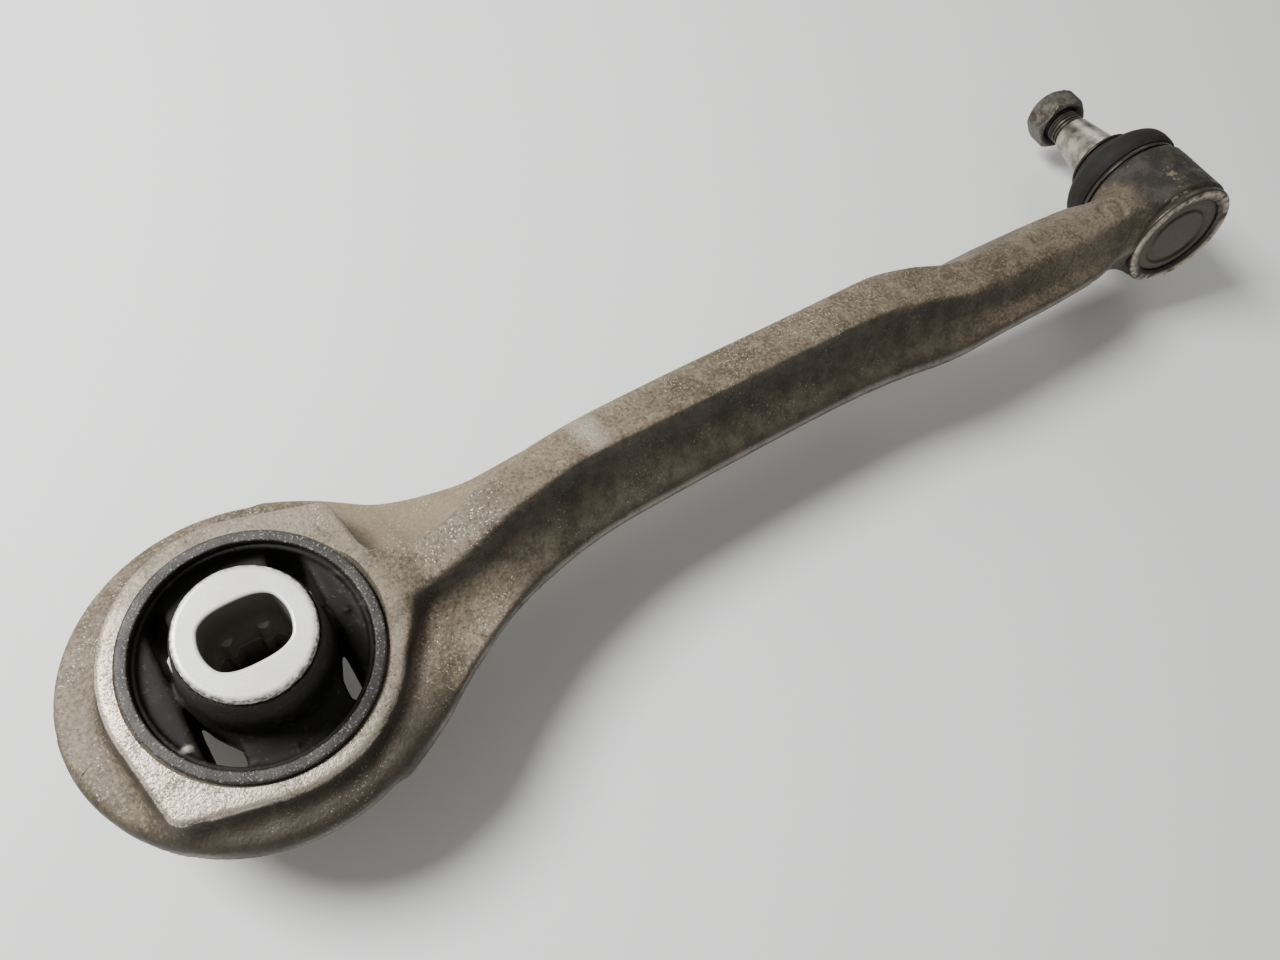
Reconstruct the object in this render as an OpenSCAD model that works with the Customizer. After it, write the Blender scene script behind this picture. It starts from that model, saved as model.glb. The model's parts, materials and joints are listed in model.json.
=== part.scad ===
// Front control arm: a forged beam with a large rubber bush at one end and a ball joint at the other.
// Origin: centre of the bush. +Z runs along the bush's bore, +X towards the ball joint.
// The beam, the eye's flange and the ball joint's axis lie in one forging plane, which is tilted about X.

/* [Layout] */
// Distance from the bush's centre to the ball's centre
arm_length = 374; // [370:1:380]
// Tilt of the forging plane about X, from the plane square to the bush
plane_tilt = 15; // [12:1:18]
// Height of the forging plane above the bush's centre
plane_rise = 2; // [0:0.5:3]
// Turn of the ball joint's axis in the forging plane, towards +X
joint_yaw = 10.7; // [8:0.1:14]

/* [Eye] */
// Radius of the eye's collar, round the bush
collar_r = 38; // [37.5:0.5:39]
// Height of the collar from its mid-plane
collar_h = 17.2; // [16.5:0.1:18]
// Outer radius of the eye's flange
flange_r = 50.9; // [50:0.1:52]
// Thickness of the eye's flange at its rim
flange_t = 9; // [7:0.5:11]

/* [Beam] */
// Height of the rib's top above the forging plane, along the beam
rib_h = 20.2; // [19:0.1:22]
// Height of the rib's top beside the ball joint
rib_end_h = 18; // [17:0.5:19]
// Thickness of the beam's flange at its edge
web_t = 6; // [5:0.5:8]

/* [Bush] */
// Outer diameter of the outer sleeve
sleeve_od = 66; // [65.5:0.1:66.5]
// Wall of the outer sleeve
sleeve_wall = 3.5; // [3:0.1:4]
// Length of the outer sleeve
sleeve_len = 38.5; // [37:0.5:40]
// Outer diameter of the core
core_od = 34; // [33:0.5:35]
// Length of the core
core_len = 76; // [74:0.5:78]
// Length of the bolt slot through the core
slot_len = 22; // [21:0.1:23]
// Width of the bolt slot between its flats
slot_w = 16.6; // [16:0.1:17]
// Distance from the core's axis to a stop pad's flat face
stop_gap = 21.8; // [21.6:0.1:22.5]
// Width of a rubber web
web_w = 28; // [26:1:30]

/* [Ball joint] */
// Outer diameter of the ball housing
housing_od = 45.8; // [45:0.1:47]
// Diameter of the ball
ball_d = 24.6; // [24:0.1:24.8]
// Radius of the cavity that holds the seat
cavity_r = 16.5; // [16.3:0.1:17]
// Radius of the closing plate
plate_r = 18.3; // [18:0.1:18.6]
// Diameter of the stud's thread
thread_d = 14; // [13.6:0.1:14]
// Radius of the stud's taper at its large end
taper_big_r = 10.8; // [10.4:0.1:11]
// Radius of the stud's taper at its small end
taper_small_r = 7.6; // [7.5:0.1:8]
// Width of the nut across its flats
nut_af = 21; // [20.5:0.1:22]
// Height of the nut
nut_h = 11.5; // [11:0.5:12]

/* [Hidden] */

sleeve_r = sleeve_od / 2;
lining_r = sleeve_r - sleeve_wall;
core_r = core_od / 2;
ball_r = ball_d / 2;
housing_r = housing_od / 2;

// Heights along the ball joint's axis, measured from the ball's centre towards the nut
rim_u = -16;
plate_u = -14;
plate_t = 2.5;
seat_top_u = 9;
mouth_u = 17.5;
groove_u = 13.8;
groove_r = 19;
boot_top_u = 35;
taper_big_u = 33;
taper_small_u = 55;
nut_u = 60.5;
thread_end_u = 73.5;
boot_r = 23.2;
neck_r = 6.2;

// Stations along the beam: [x, rib's near side, rib's far side, flange's near edge, flange's far edge]
stations = [
    [20, -12, 10, -45, 45],
    [36, -11, 6, -38, 38],
    [50, -9.5, 4, -29.5, 30],
    [63, -7, 6, -23, 26],
    [78, -4, 11, -17.2, 24],
    [102, 0.4, 15.6, -12.5, 25],
    [125, 0.8, 16.8, -11, 26],
    [195, 0.6, 17.2, -10, 26],
    [226, -0.2, 17.6, -12.1, 25.5],
    [244, -3.5, 14.5, -15, 22],
    [262, -7.5, 10.8, -15.5, 18.5],
    [304, -9.5, 10.8, -15.4, 16],
    [328, -9.5, 10.5, -13.2, 15],
    [342, -7, 10, -8.5, 14],
    [372, -8, 10, -8, 12],
];
steps = 5;

// Smooth curve through the stations, by Catmull-Rom
function cubic(a, b, c, d, t) =
    0.5 * (2 * b + (c - a) * t + (2 * a - 5 * b + 4 * c - d) * t * t + (3 * b - a - 3 * c + d) * t * t * t);
last = len(stations) - 1;
path = [for (i = [0 : last - 1]) for (k = [0 : (i == last - 1 ? steps : steps - 1)])
    cubic(stations[max(i - 1, 0)], stations[i], stations[i + 1], stations[min(i + 2, last)], k / steps)];

// Outline of the rib (column 1) or the flange (column 3) in the forging plane
function edge(column, shift) = [for (p = path) [p[0], p[column] + shift]];
function backwards(list) = [for (i = [len(list) - 1 : -1 : 0]) list[i]];

module beam_outline(column, grow = 0) {
    polygon(concat(edge(column, -grow), backwards(edge(column + 1, grow))));
}

// Local frames
module in_plane() {
    rotate([-plane_tilt, 0, 0]) translate([0, 0, plane_rise]) children();
}

module along_joint() {
    in_plane()
    translate([arm_length, 0, 0])
    rotate([0, 0, -joint_yaw])
    rotate([-90, 0, 0])
    children();
}

module slab(height, outline_column, grow = 0) {
    translate([0, 0, -height / 2])
    linear_extrude(height) beam_outline(outline_column, grow);
}

// Side view of the rib: high along the beam, lower beside the ball joint
module rib_side() {
    translate([0, 60, 0])
    rotate([90, 0, 0])
    linear_extrude(120)
    polygon([
        [18, -rib_h], [232, -rib_h], [262, -rib_end_h], [378, -rib_end_h],
        [378, rib_end_h], [262, rib_end_h], [232, rib_h], [18, rib_h],
    ]);
}

// Eye: a thick flange in the forging plane that rises to the collar round the bush
module eye() {
    in_plane()
    translate([-0.5, 0.7, 0])
    rotate_extrude($fn = 120)
    polygon([
        [20, -16], [37.5, -16], [39, -11], [42, -8], [47, -flange_t / 2 - 1.5], [flange_r - 1, -flange_t / 2],
        [flange_r, 0],
        [flange_r - 1, flange_t / 2], [47, flange_t / 2 + 1.5], [42, 8], [39, 11], [37.5, 16], [20, 16],
    ]);
}

// Collar: a ring round the bush with a pointed corner on two opposite sides
module collar() {
    translate([0, 0, -collar_h]) cylinder(h = 2 * collar_h, r = collar_r, $fn = 120);
    for (turn = [0, 180])
        rotate([0, 0, turn])
        linear_extrude(2 * collar_h, center = true)
        polygon([
            [0, 0], [-37.6, -6], [-37.2, -13.4], [-36, -24.5], [-34.8, -27.8], [-32.4, -30.2],
            [-29.6, -31.6], [-19.4, -34.3], [-8, -37.2],
        ]);
}

// Housing: a turned cup in one piece with the beam, its rim rolled over the closing plate
module housing_outside() {
    rotate_extrude($fn = 96)
    polygon([
        [0, rim_u], [housing_r - 1.8, rim_u], [housing_r - 0.5, rim_u + 1], [housing_r, rim_u + 2.2],
        [housing_r, groove_u - 2.6], [housing_r - 2, groove_u], [groove_r, groove_u],
        [groove_r, mouth_u - 1], [groove_r - 0.6, mouth_u], [0, mouth_u],
    ]);
}

module housing_inside() {
    rotate_extrude($fn = 96)
    polygon([
        [0, rim_u - 1], [plate_r - 1.2, rim_u - 1], [plate_r - 1.2, plate_u - 0.5], [plate_r, plate_u - 0.5],
        [plate_r, plate_u + plate_t], [cavity_r, plate_u + plate_t],
        [cavity_r, seat_top_u], [12.8, seat_top_u], [16.5, mouth_u], [16.5, mouth_u + 30], [0, mouth_u + 30],
    ]);
}

// Space round the housing's neck for the boot and its ring
module boot_space() {
    rotate_extrude($fn = 96)
    polygon([[groove_r, groove_u], [24.2, groove_u], [24.2, 40], [groove_r, 40]]);
}

module arm_forging() {
    color([0.62, 0.58, 0.5])
    difference() {
        union() {
            intersection() {
                eye();
                cube([120, 120, 2 * collar_h], center = true);
            }
            collar();
            in_plane() {
                slab(web_t, 3);
                slab(web_t + 8, 1, 4.5);
                intersection() {
                    slab(2 * rib_h, 1);
                    rib_side();
                }
            }
            along_joint() housing_outside();
        }
        cylinder(h = 120, r = sleeve_r, center = true, $fn = 120);
        along_joint() housing_inside();
        along_joint() boot_space();
    }
}

// Outer sleeve of the bush: a pressed-in ring with a chamfer at each end
module bushing_outer_sleeve() {
    half = sleeve_len / 2;
    color([0.3, 0.3, 0.29])
    rotate_extrude($fn = 120)
    polygon([
        [lining_r, -half], [sleeve_r - 0.6, -half], [sleeve_r, -half + 0.6],
        [sleeve_r, half - 0.6], [sleeve_r - 0.6, half], [lining_r, half],
    ]);
}

// Jacket round the core: widest in the middle, thin towards the core's ends
module jacket_outside() {
    rotate_extrude($fn = 96)
    polygon([
        [0, -35], [core_r + 0.9, -35], [core_r + 1.6, -30], [20.4, -15], [20.6, 0],
        [20.4, 15], [core_r + 1.6, 30], [core_r + 0.9, 35], [0, 35],
    ]);
}

module rubber_block(height) {
    intersection() {
        cylinder(h = height, r = lining_r, center = true, $fn = 120);
        children();
    }
}

module bushing_rubber() {
    web_h = 26;
    stop_h = 30;
    lining_h = 35;
    lining_t = 1.3;
    color([0.13, 0.12, 0.11])
    difference() {
        union() {
            jacket_outside();
            rubber_block(web_h) cube([web_w, 80, web_h], center = true);
            difference() {
                cylinder(h = lining_h, r = lining_r, center = true, $fn = 120);
                cylinder(h = lining_h + 2, r = lining_r - lining_t, center = true, $fn = 120);
            }
            for (side = [-1, 1])
                rubber_block(stop_h)
                translate([side * (stop_gap + 10), 0, 0]) cube([20, 44, stop_h], center = true);
        }
        cylinder(h = core_len + 10, r = core_r + 0.02, center = true, $fn = 96);
    }
}

// Bolt slot: a round hole with two flats, and in its middle four small ribs that place the bolt
module slot_outline() {
    intersection() {
        circle(d = slot_len, $fn = 72);
        square([slot_len + 2, slot_w], center = true);
    }
}

module slot_nibs() {
    nib_x = 5.2;
    nib_r = 2;
    for (x = [-nib_x, nib_x]) for (y = [-1, 1])
        translate([x, y * slot_w / 2]) circle(r = nib_r, $fn = 36);
}

module bushing_core() {
    half = core_len / 2;
    nib_half = 12;
    color([0.82, 0.81, 0.78])
    difference() {
        rotate_extrude($fn = 96)
        polygon([
            [0, -half], [core_r - 1, -half], [core_r, -half + 1.2],
            [core_r, half - 1.2], [core_r - 1, half], [0, half],
        ]);
        for (side = [-1, 1])
            translate([0, 0, side * (half + nib_half + 1) / 2])
            linear_extrude(half - nib_half + 1, center = true) slot_outline();
        linear_extrude(2 * nib_half + 0.2, center = true)
        difference() {
            slot_outline();
            slot_nibs();
        }
    }
}

// Closing plate: a pressed steel disc with one raised step
module closing_plate() {
    color([0.42, 0.39, 0.34])
    along_joint()
    difference() {
        union() {
            translate([0, 0, plate_u]) cylinder(h = plate_t, r = plate_r, $fn = 96);
            translate([0, 0, plate_u - 1]) cylinder(h = 1.5, r1 = 12.6, r2 = 14, $fn = 96);
        }
        translate([0, 0, plate_u + plate_t - 1]) cylinder(h = 2, r = 12, $fn = 96);
    }
}

// Seat: a plastic shell that fills the cavity and wraps the ball past its middle
module ball_seat() {
    seat_low_u = plate_u + plate_t;
    color([0.9, 0.88, 0.8])
    along_joint()
    difference() {
        translate([0, 0, seat_low_u]) cylinder(h = seat_top_u - seat_low_u, r = cavity_r, $fn = 96);
        sphere(r = ball_r + 0.05, $fn = 96);
        // the way out of the stud's neck
        cylinder(h = 20, r1 = 8.6, r2 = 18, $fn = 72);
        translate([0, 0, seat_low_u - 1]) cylinder(h = 6, r = 7, $fn = 48);
    }
}

// Stud: ball, neck, taper and thread turned from one steel bar
module ball_stud() {
    thread_r = thread_d / 2;
    color([0.75, 0.74, 0.72])
    along_joint()
    union() {
        difference() {
            sphere(r = ball_r, $fn = 96);
            translate([0, 0, -ball_r - 1]) cylinder(h = 2.6, r = 8, $fn = 48);
        }
        rotate_extrude($fn = 96)
        polygon([
            [0, 4], [neck_r + 0.6, 10], [neck_r, 14], [neck_r, 20], [neck_r + 1.5, 26],
            [taper_big_r, taper_big_u - 2],
            [taper_big_r, taper_big_u],
            [taper_small_r, taper_small_u - 0.5], [thread_r, taper_small_u], [thread_r, thread_end_u - 1],
            [thread_r - 1, thread_end_u], [0, thread_end_u],
        ]);
    }
}

// Rings that hold the boot: flat spring wire round its foot and round wire at its neck
module boot_clamp_ring() {
    color([0.5, 0.5, 0.5])
    along_joint()
    difference() {
        translate([0, 0, 14.7]) cylinder(h = 1.6, r = 21.8, $fn = 96);
        translate([0, 0, 13]) cylinder(h = 5, r = 20.85, $fn = 96);
    }
}

module boot_neck_ring() {
    color([0.5, 0.5, 0.5])
    along_joint()
    translate([0, 0, 33.4])
    rotate_extrude($fn = 96)
    translate([13.2, 0]) circle(r = 0.7, $fn = 16);
}

// Boot: a thin rubber bellows of one bulge, from the housing's groove to the stud's taper
module dust_boot() {
    color([0.1, 0.1, 0.1])
    along_joint()
    rotate_extrude($fn = 96)
    polygon([
        [groove_r + 0.05, 14.1], [20.8, 14.1], [20.8, 16.8], [22.2, 17.4], [boot_r, 19.2], [boot_r, 22.2],
        [boot_r - 0.8, 24.6], [20.8, 26.4], [17.5, 28.2], [14.6, 29], [14.2, 31.9], [12.4, 31.9],
        [12.4, boot_top_u],
        [taper_big_r + 0.1, boot_top_u], [taper_big_r + 0.1, 28.4], [14, 27.4], [17, 26.6],
        [boot_r - 3.4, 24.8], [boot_r - 1.8, 22.4], [boot_r - 1.8, 19.8], [groove_r + 0.8, 18.4],
        [groove_r + 0.05, 17.4],
    ]);
}

// Nut: a hexagon with a washer face, chamfered corners and a collar that holds the locking ring
module stud_nut() {
    thread_r = thread_d / 2;
    corner_r = nut_af / 2 / cos(30);
    color([0.6, 0.58, 0.54])
    along_joint()
    translate([0, 0, nut_u])
    difference() {
        union() {
            intersection() {
                cylinder(h = nut_h - 3, r = corner_r, $fn = 6);
                cylinder(h = nut_h - 3, r = corner_r - 0.35, $fn = 72);
                cylinder(h = 14, r1 = nut_af / 2 - 0.2, r2 = nut_af / 2 + 14, $fn = 72);
            }
            cylinder(h = nut_h, r = nut_af / 2 - 1, $fn = 72);
        }
        translate([0, 0, -1]) cylinder(h = nut_h + 2, r = thread_r + 0.02, $fn = 72);
        translate([0, 0, -1]) cylinder(h = 2, r1 = thread_r + 2.2, r2 = thread_r, $fn = 72);
        translate([0, 0, nut_h - 3.2]) cylinder(h = 2.4, r = thread_r + 1.6, $fn = 72);
    }
}

module nut_locking_insert() {
    thread_r = thread_d / 2;
    color([0.2, 0.3, 0.5])
    along_joint()
    translate([0, 0, nut_u + nut_h - 3.2])
    difference() {
        cylinder(h = 2.4, r = thread_r + 1.6, $fn = 72);
        translate([0, 0, -1]) cylinder(h = 5, r = thread_r + 0.02, $fn = 72);
    }
}

arm_forging();
bushing_outer_sleeve();
bushing_rubber();
bushing_core();
closing_plate();
ball_seat();
ball_stud();
boot_clamp_ring();
dust_boot();
boot_neck_ring();
stud_nut();
nut_locking_insert();
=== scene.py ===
import json
import math
from types import SimpleNamespace

import bpy
import numpy as np
import openvdb
from mathutils import Matrix, Vector


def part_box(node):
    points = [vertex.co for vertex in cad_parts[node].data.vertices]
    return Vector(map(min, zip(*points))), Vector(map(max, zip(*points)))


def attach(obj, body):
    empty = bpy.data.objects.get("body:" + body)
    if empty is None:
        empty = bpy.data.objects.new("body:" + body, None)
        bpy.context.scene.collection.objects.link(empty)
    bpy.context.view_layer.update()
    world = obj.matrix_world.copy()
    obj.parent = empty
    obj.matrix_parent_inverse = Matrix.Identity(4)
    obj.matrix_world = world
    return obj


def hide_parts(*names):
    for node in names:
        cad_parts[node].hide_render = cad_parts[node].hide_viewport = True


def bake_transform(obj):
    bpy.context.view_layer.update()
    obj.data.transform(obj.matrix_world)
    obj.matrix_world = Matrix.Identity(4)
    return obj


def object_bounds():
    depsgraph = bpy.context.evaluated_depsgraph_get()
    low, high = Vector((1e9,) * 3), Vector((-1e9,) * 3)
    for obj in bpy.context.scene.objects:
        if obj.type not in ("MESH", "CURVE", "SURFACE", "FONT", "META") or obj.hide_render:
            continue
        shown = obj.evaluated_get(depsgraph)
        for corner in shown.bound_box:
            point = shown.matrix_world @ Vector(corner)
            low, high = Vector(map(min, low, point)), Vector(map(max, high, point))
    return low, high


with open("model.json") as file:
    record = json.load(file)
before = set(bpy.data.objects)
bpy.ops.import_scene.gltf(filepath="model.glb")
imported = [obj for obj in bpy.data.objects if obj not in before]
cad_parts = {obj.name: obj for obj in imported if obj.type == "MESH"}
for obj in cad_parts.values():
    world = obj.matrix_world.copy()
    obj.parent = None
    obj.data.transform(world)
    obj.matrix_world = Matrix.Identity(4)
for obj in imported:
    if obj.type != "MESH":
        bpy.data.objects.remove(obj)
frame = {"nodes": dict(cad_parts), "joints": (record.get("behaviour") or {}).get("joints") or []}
cad_low, cad_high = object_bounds()
MM = 0.001

# ---------------------------------------------------------------- Camera, floor and light
# A plain pale floor under the part, one large soft light from above and behind, and one weak rim light.
# The camera stands close over the bush and looks along the beam.
scene = bpy.context.scene
camera = bpy.data.objects.new("Camera", bpy.data.cameras.new("Camera"))
scene.collection.objects.link(camera)
right = Vector((0.8263, -0.5244, 0.2056)).normalized()
up = Vector((0.4212, 0.8176, 0.3927)).normalized()
back = right.cross(up).normalized()
up = back.cross(right)
camera.matrix_world = Matrix((
    (right.x, up.x, back.x, -0.00145),
    (right.y, up.y, back.y, -0.08047),
    (right.z, up.z, back.z, 0.29938),
    (0, 0, 0, 1),
))
camera.data.sensor_width = 36
camera.data.lens = 29.81
camera.data.clip_start = 0.01
scene.camera = camera


def new_material(name):
    """A node material, its tree and its main shader."""
    material = bpy.data.materials.new(name)
    material.use_nodes = True
    return material, material.node_tree, material.node_tree.nodes["Principled BSDF"]


floor_mesh = bpy.data.meshes.new("Floor")
FLOOR_HALF = 6.0
floor_z = cad_low.z - 0.0002
floor_mesh.from_pydata(
    [(-FLOOR_HALF, -FLOOR_HALF, floor_z), (FLOOR_HALF, -FLOOR_HALF, floor_z),
     (FLOOR_HALF, FLOOR_HALF, floor_z), (-FLOOR_HALF, FLOOR_HALF, floor_z)],
    [], [(0, 1, 2, 3)])
floor = bpy.data.objects.new("Floor", floor_mesh)
scene.collection.objects.link(floor)
floor_paint, _, shader = new_material("pale_floor")
shader.inputs["Base Color"].default_value = (0.95, 0.95, 0.94, 1)
shader.inputs["Roughness"].default_value = 0.9
floor_mesh.materials.append(floor_paint)

world = bpy.data.worlds.new("Studio")
world.use_nodes = True
world.node_tree.nodes["Background"].inputs["Color"].default_value = (1.0, 0.99, 0.97, 1)
world.node_tree.nodes["Background"].inputs["Strength"].default_value = 0.27
scene.world = world


def soft_light(name, place, target, size, power):
    lamp = bpy.data.lights.new(name, "AREA")
    lamp.shape = "DISK"
    lamp.size = size
    lamp.energy = power
    holder = bpy.data.objects.new(name, lamp)
    scene.collection.objects.link(holder)
    holder.location = place
    holder.rotation_euler = (Vector(target) - Vector(place)).to_track_quat("-Z", "Y").to_euler()


soft_light("Key", (-0.34, 0.40, 0.70), (0.1, 0, 0), 0.36, 14.5)
soft_light("Rim", (0.75, 0.75, 0.5), (0.2, 0, 0), 0.5, 1.6)

# ---------------------------------------------------------------- Forged arm
# One drop-forged aluminium piece: an eye with a flange and a collar, a beam with a rib above and
# below its flange, and the turned cup of the ball joint. It is shaped as a field of distances, with
# round fillets where its masses meet, and its bores are cut afterwards.
joints = {j["name"]: j for j in frame["joints"]}
ball = Vector(joints["stud_spin"]["pos_m"]) / MM
stud_axis = Vector(joints["stud_spin"]["axis"]).normalized()
plane_normal = Vector(joints["stud_swing"]["axis"]).normalized()
TILT = math.atan2(plane_normal.y, plane_normal.z)
RISE = ball.dot(plane_normal)
in_plane = Matrix.Rotation(-TILT, 4, "X") @ Matrix.Translation((0, 0, RISE))
stud_in_plane = Matrix.Rotation(TILT, 3, "X") @ stud_axis
YAW = math.atan2(stud_in_plane.x, stud_in_plane.y)
along_joint = (in_plane @ Matrix.Translation((ball.x, 0, 0))
               @ Matrix.Rotation(-YAW, 4, "Z") @ Matrix.Rotation(-math.pi / 2, 4, "X"))
ARM_LENGTH = ball.x
SLEEVE_R = (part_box("bushing_outer_sleeve")[1].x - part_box("bushing_outer_sleeve")[0].x) / 2 / MM
COLLAR_R = 38.0
COLLAR_H = 17.2
LOBE_ANGLE = math.radians(41.5)
LOBE_REACH = 40.4
LOBE_R = 4.2
FLANGE_R = 51.0
FLANGE_CENTRE = (-0.5, 0.7)
FLANGE_HALF = 4.4
FLANGE_DROP = 0.075
WEB_HALF = 3.1
TURNED_BACK_END = 84
HOUSING_R = 22.9
HOUSING_BACK, HOUSING_FRONT = -13.0, 14.0
MARK_X, MARK_Z, MARK_R, MARK_WIRE = 338.6, 17.0, 4.7, 1.6
VOXEL = 0.72


def eased(t):
    """A step from 0 to 1 that starts and ends softly."""
    return t * t * (3 - 2 * t)


def round_union(a, b, r):
    """Distance to two shapes joined with a fillet of radius r."""
    u = np.maximum(r - a, 0)
    v = np.maximum(r - b, 0)
    return np.maximum(r, np.minimum(a, b)) - np.sqrt(u * u + v * v)


def round_common(a, b, r):
    """Distance to what two shapes share, with its edge rounded to radius r."""
    return -round_union(-a, -b, r)


def along(x, stations, column):
    """Smooth value of one column of the stations at each x, by monotone cubic steps."""
    xs = np.array([s[0] for s in stations], float)
    ys = np.array([s[column] for s in stations], float)
    slope = np.diff(ys) / np.diff(xs)
    m = np.concatenate([[slope[0]], (slope[1:] + slope[:-1]) / 2, [slope[-1]]])
    m[1:-1] = np.where(slope[1:] * slope[:-1] <= 0, 0, m[1:-1])
    x = np.clip(x, xs[0], xs[-1])
    i = np.clip(np.searchsorted(xs, x) - 1, 0, len(xs) - 2)
    h = xs[i + 1] - xs[i]
    t = (x - xs[i]) / h
    return ((2 * t ** 3 - 3 * t ** 2 + 1) * ys[i] + (t ** 3 - 2 * t ** 2 + t) * h * m[i]
            + (3 * t ** 2 - 2 * t ** 3) * ys[i + 1] + (t ** 3 - t ** 2) * h * m[i + 1])


# x, rib's near and far side at its top, flange's near and far edge, rib height,
# side slope near and far, fillet between rib and flange, how far the top leans
BEAM = [
    (20, -11, 8, -43.6, 45, 20.2, 0.14, 0.14, 5.0, 0),
    (36, -10, 5.5, -37.2, 38, 20.2, 0.2, 0.14, 6.5, 0),
    (50, -8.6, 3.6, -29.5, 30, 20.2, 0.34, 0.14, 8.5, 0),
    (63, -6.4, 5.8, -23, 26, 20.2, 0.4, 0.14, 10.0, 0),
    (78, -3.4, 11.0, -17.2, 24, 20.2, 0.34, 0.14, 12.0, 0),
    (102, 1.0, 15.0, -12.7, 25, 20.2, 0.24, 0.14, 12.0, 0),
    (125, 1.4, 16.2, -11.2, 26, 20.2, 0.24, 0.14, 12.0, 0),
    (195, 1.2, 16.8, -10, 26, 20.2, 0.24, 0.14, 12.0, 0),
    (226, 0.4, 17.2, -12.1, 25.5, 20.0, 0.26, 0.16, 12.0, 0.02),
    (244, -2.8, 14.0, -14.6, 22, 19.2, 0.3, 0.2, 11.0, 0.08),
    (262, -5.4, 8.4, -15.4, 18.0, 16.9, 0.45, 0.75, 6.0, 0.15),
    (285, -5.4, 6.6, -15.4, 16.5, 15.9, 0.56, 1.15, 3.5, 0.19),
    (304, -5.5, 5.8, -15.2, 16, 15.7, 0.6, 1.25, 3.0, 0.2),
    (328, -6.0, 4.8, -13.2, 15, 15.9, 0.5, 1.2, 3.0, 0.18),
    (342, -5.4, 4.4, -8.5, 14, 16.6, 0.3, 0.9, 5.0, 0.12),
    (372, -5.4, 4.4, -8, 12, 16.6, 0.3, 0.9, 5.0, 0.1),
]


def lobed_circle(x, y, angle):
    """Distance to a circle drawn out to one small corner."""
    across = np.abs(-x * math.sin(angle) + y * math.cos(angle))
    forward = x * math.cos(angle) + y * math.sin(angle)
    b = (COLLAR_R - LOBE_R) / LOBE_REACH
    a = math.sqrt(1 - b * b)
    k = -b * across + a * forward
    body = np.hypot(across, forward) - COLLAR_R
    tip = np.hypot(across, forward - LOBE_REACH) - LOBE_R
    side = a * across + b * forward - COLLAR_R
    return np.where(k < 0, body, np.where(k > a * LOBE_REACH, tip, side))


def collar_outline(x, y):
    """Distance to the collar's outline: a circle with two opposite corners."""
    return np.minimum(lobed_circle(x, y, LOBE_ANGLE), lobed_circle(x, y, LOBE_ANGLE + math.pi))


def in_bush(y, z):
    """Y and Z in the bush's frame of a point in the forging plane's frame."""
    raised = z + RISE
    return y * math.cos(TILT) + raised * math.sin(TILT), -y * math.sin(TILT) + raised * math.cos(TILT)


def flange_middle(y, share):
    """Height of the flange's middle. Its near half is turned back towards the bush's own plane."""
    return FLANGE_DROP * (y - np.sqrt(y ** 2 + 64)) * share


def forging_distance(x, y, z):
    """Distance in mm to the forging's skin, in the forging plane's own frame."""
    bush_y, bush_z = in_bush(y, z)
    height = np.abs(bush_z)
    outline = np.minimum(collar_outline(x, bush_y), np.hypot(x - 21.4, bush_y + 1.8) - 20)
    collar = round_common(outline - 0.16 * (COLLAR_H - height), height - COLLAR_H, 1.6)
    middle = np.abs(z - flange_middle(y, eased(np.clip((TURNED_BACK_END - x) / 50, 0, 1))))
    rim = np.hypot(x - FLANGE_CENTRE[0], np.where(y < 0, 1.034, 1.0) * (y - FLANGE_CENTRE[1])) - FLANGE_R
    flange = round_common(rim, middle - FLANGE_HALF, 3.4)
    eye = round_union(collar, flange, 4.6)

    near, far, edge_near, edge_far, rib_h, slope_near, slope_far, fillet, lean = (
        along(x, BEAM, c) for c in range(1, 10))
    share = eased(np.clip((x - 44) / 44, 0, 1))
    depth = np.abs(z)
    top = (1 - share) * (height - COLLAR_H) + share * (depth - rib_h - lean * (y - (near + far) / 2))
    drop = np.maximum(-top, 0)
    wall_near = (near - y - slope_near * drop) / np.sqrt(1 + slope_near ** 2)
    wall_far = (y - far - slope_far * drop) / np.sqrt(1 + slope_far ** 2)
    walls = np.maximum(wall_near, wall_far)
    rib = round_common(walls, top, 1.5)
    rib = round_common(rib, y - edge_far + 0.15 * depth, 1.5)
    web = round_common(np.maximum(edge_near - y, y - edge_far), middle - WEB_HALF, 1.8)
    beam = round_union(rib, web, fillet)
    beam = round_common(beam, np.maximum(20 - x, x - ARM_LENGTH), 1.0)
    arm = round_union(eye, beam, 6.0)
    arm = np.maximum(arm, MARK_WIRE - np.hypot(np.hypot(x - MARK_X, y) - MARK_R, z - MARK_Z))

    u = (x - ARM_LENGTH) * math.sin(YAW) + y * math.cos(YAW)
    v = (x - ARM_LENGTH) * math.cos(YAW) - y * math.sin(YAW)
    radius = np.hypot(v, z)
    cup = round_common(radius - HOUSING_R, np.maximum(HOUSING_BACK - u, u - HOUSING_FRONT), 2.4)
    return round_union(arm, cup, 5.0)


def mesh_object(name, points, faces, material=None, smooth_angle=None):
    """A mesh in metres from points in mm, smooth, with edges sharper than the angle kept."""
    mesh = bpy.data.meshes.new(name)
    mesh.from_pydata([tuple(p) for p in np.asarray(points) * MM], [], [tuple(f) for f in faces])
    mesh.validate()
    mesh.update()
    piece = bpy.data.objects.new(name, mesh)
    scene.collection.objects.link(piece)
    mesh.shade_smooth()
    if smooth_angle is not None:
        mesh.set_sharp_from_angle(angle=math.radians(smooth_angle))
    if material:
        mesh.materials.append(material)
    return piece


def placed(points, matrix):
    """Points in mm after a 4 by 4 matrix in mm."""
    m = np.array(matrix)
    return np.asarray(points) @ m[:3, :3].T + m[:3, 3]


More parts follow.
